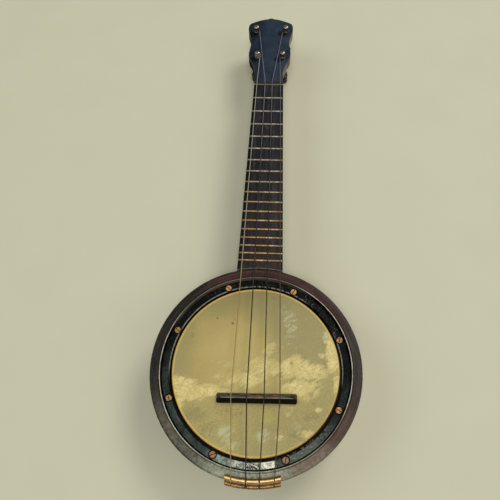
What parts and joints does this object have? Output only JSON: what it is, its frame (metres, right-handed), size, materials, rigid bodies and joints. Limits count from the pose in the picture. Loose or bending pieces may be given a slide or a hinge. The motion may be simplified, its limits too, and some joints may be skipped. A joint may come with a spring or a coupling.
{
  "type": "banjo ukulele",
  "caption": "Small fretted lute with a round wooden pot, a skin head under a screwed metal ring, a straight neck and a waisted headstock with friction pegs.",
  "frame": {"origin": "centre of the pot's flat back, on the pot's axis", "axes": "+Y runs up the neck to the headstock, +Z out of the drum head, +X to the right as the head is seen with the neck up"},
  "size_m": [0.1894, 0.5191, 0.0545],
  "materials": {
    "rim_wood": "worn dark varnish",
    "inner_wood": "bare",
    "neck_wood": "satin varnish",
    "ebonised_wood": "worn black stain",
    "face_black": "satin black",
    "vellum": "aged skin",
    "ring_metal": "worn black japanning over steel",
    "screw_copper": "tarnished",
    "tail_brass": "polished, tarnished in the groove",
    "hoop_brass": "dull",
    "fret_wire": "worn",
    "nut_bone": "aged bone",
    "peg_nickel": "nickel plate",
    "button_black": "polished",
    "string_pale": "clear gut",
    "string_dark": "dyed",
    "string_brown": "dyed"
  },
  "bodies": {
    "body": {"pot_rim": "rim_wood", "back_plate": "rim_wood", "bearing_ring": "inner_wood", "head": "vellum", "flesh_hoop": "hoop_brass", "tension_ring": "ring_metal", "dowel_stick": "inner_wood", "end_screw": "peg_nickel", "neck": "neck_wood", "headstock_faceplate": "face_black", "fretboard": "ebonised_wood", "nut": "nut_bone", "bridge": "ebonised_wood", "tailpiece": "tail_brass", "tailpiece_screw": "peg_nickel", "fret_1": "fret_wire", "fret_2": "fret_wire", "fret_3": "fret_wire", "fret_4": "fret_wire", "fret_5": "fret_wire", "fret_6": "fret_wire", "fret_7": "fret_wire", "fret_8": "fret_wire", "fret_9": "fret_wire", "fret_10": "fret_wire", "fret_11": "fret_wire", "fret_12": "fret_wire", "fret_13": "fret_wire", "fret_14": "fret_wire", "fret_15": "fret_wire", "fret_16": "fret_wire", "fret_17": "fret_wire", "peg_bushing_1": "peg_nickel", "peg_bushing_2": "peg_nickel", "peg_bushing_3": "peg_nickel", "peg_bushing_4": "peg_nickel", "string_1": "string_pale", "string_2": "string_dark", "string_3": "string_dark", "string_4": "string_brown"},
    "peg_1": {"peg_shaft_1": "peg_nickel", "peg_button_1": "button_black", "peg_screw_1": "peg_nickel"},
    "peg_2": {"peg_shaft_2": "peg_nickel", "peg_button_2": "button_black", "peg_screw_2": "peg_nickel"},
    "peg_3": {"peg_shaft_3": "peg_nickel", "peg_button_3": "button_black", "peg_screw_3": "peg_nickel"},
    "peg_4": {"peg_shaft_4": "peg_nickel", "peg_button_4": "button_black", "peg_screw_4": "peg_nickel"},
    "head_screw_1": {"tension_screw_1": "screw_copper"},
    "head_screw_2": {"tension_screw_2": "screw_copper"},
    "head_screw_3": {"tension_screw_3": "screw_copper"},
    "head_screw_4": {"tension_screw_4": "screw_copper"},
    "head_screw_5": {"tension_screw_5": "screw_copper"},
    "head_screw_6": {"tension_screw_6": "screw_copper"},
    "head_screw_7": {"tension_screw_7": "screw_copper"},
    "head_screw_8": {"tension_screw_8": "screw_copper"}
  },
  "joints": [
    {"name": "peg_1_turn", "type": "hinge", "parent": "body", "child": "peg_1", "pos_m": [-0.0144, 0.36105, 0.0335], "axis": [0, 0, 1], "continuous": true},
    {"name": "peg_2_turn", "type": "hinge", "parent": "body", "child": "peg_2", "pos_m": [-0.0172, 0.40025, 0.0335], "axis": [0, 0, 1], "continuous": true},
    {"name": "peg_3_turn", "type": "hinge", "parent": "body", "child": "peg_3", "pos_m": [0.0172, 0.40025, 0.0335], "axis": [0, 0, 1], "continuous": true},
    {"name": "peg_4_turn", "type": "hinge", "parent": "body", "child": "peg_4", "pos_m": [0.0144, 0.36105, 0.0335], "axis": [0, 0, 1], "continuous": true},
    {"name": "head_screw_1_turn", "type": "hinge", "parent": "body", "child": "head_screw_1", "pos_m": [0.07508, 0.0289, 0.0468], "axis": [0, 0, 1], "range_deg": [-180, 180]},
    {"name": "head_screw_2_turn", "type": "hinge", "parent": "body", "child": "head_screw_2", "pos_m": [0.03266, 0.07352, 0.0468], "axis": [0, 0, 1], "range_deg": [-180, 180]},
    {"name": "head_screw_3_turn", "type": "hinge", "parent": "body", "child": "head_screw_3", "pos_m": [-0.0289, 0.07508, 0.0468], "axis": [0, 0, 1], "range_deg": [-180, 180]},
    {"name": "head_screw_4_turn", "type": "hinge", "parent": "body", "child": "head_screw_4", "pos_m": [-0.07352, 0.03266, 0.0468], "axis": [0, 0, 1], "range_deg": [-180, 180]},
    {"name": "head_screw_5_turn", "type": "hinge", "parent": "body", "child": "head_screw_5", "pos_m": [-0.07508, -0.0289, 0.0468], "axis": [0, 0, 1], "range_deg": [-180, 180]},
    {"name": "head_screw_6_turn", "type": "hinge", "parent": "body", "child": "head_screw_6", "pos_m": [-0.03266, -0.07352, 0.0468], "axis": [0, 0, 1], "range_deg": [-180, 180]},
    {"name": "head_screw_7_turn", "type": "hinge", "parent": "body", "child": "head_screw_7", "pos_m": [0.0289, -0.07508, 0.0468], "axis": [0, 0, 1], "range_deg": [-180, 180]},
    {"name": "head_screw_8_turn", "type": "hinge", "parent": "body", "child": "head_screw_8", "pos_m": [0.07352, -0.03266, 0.0468], "axis": [0, 0, 1], "range_deg": [-180, 180]}
  ]
}
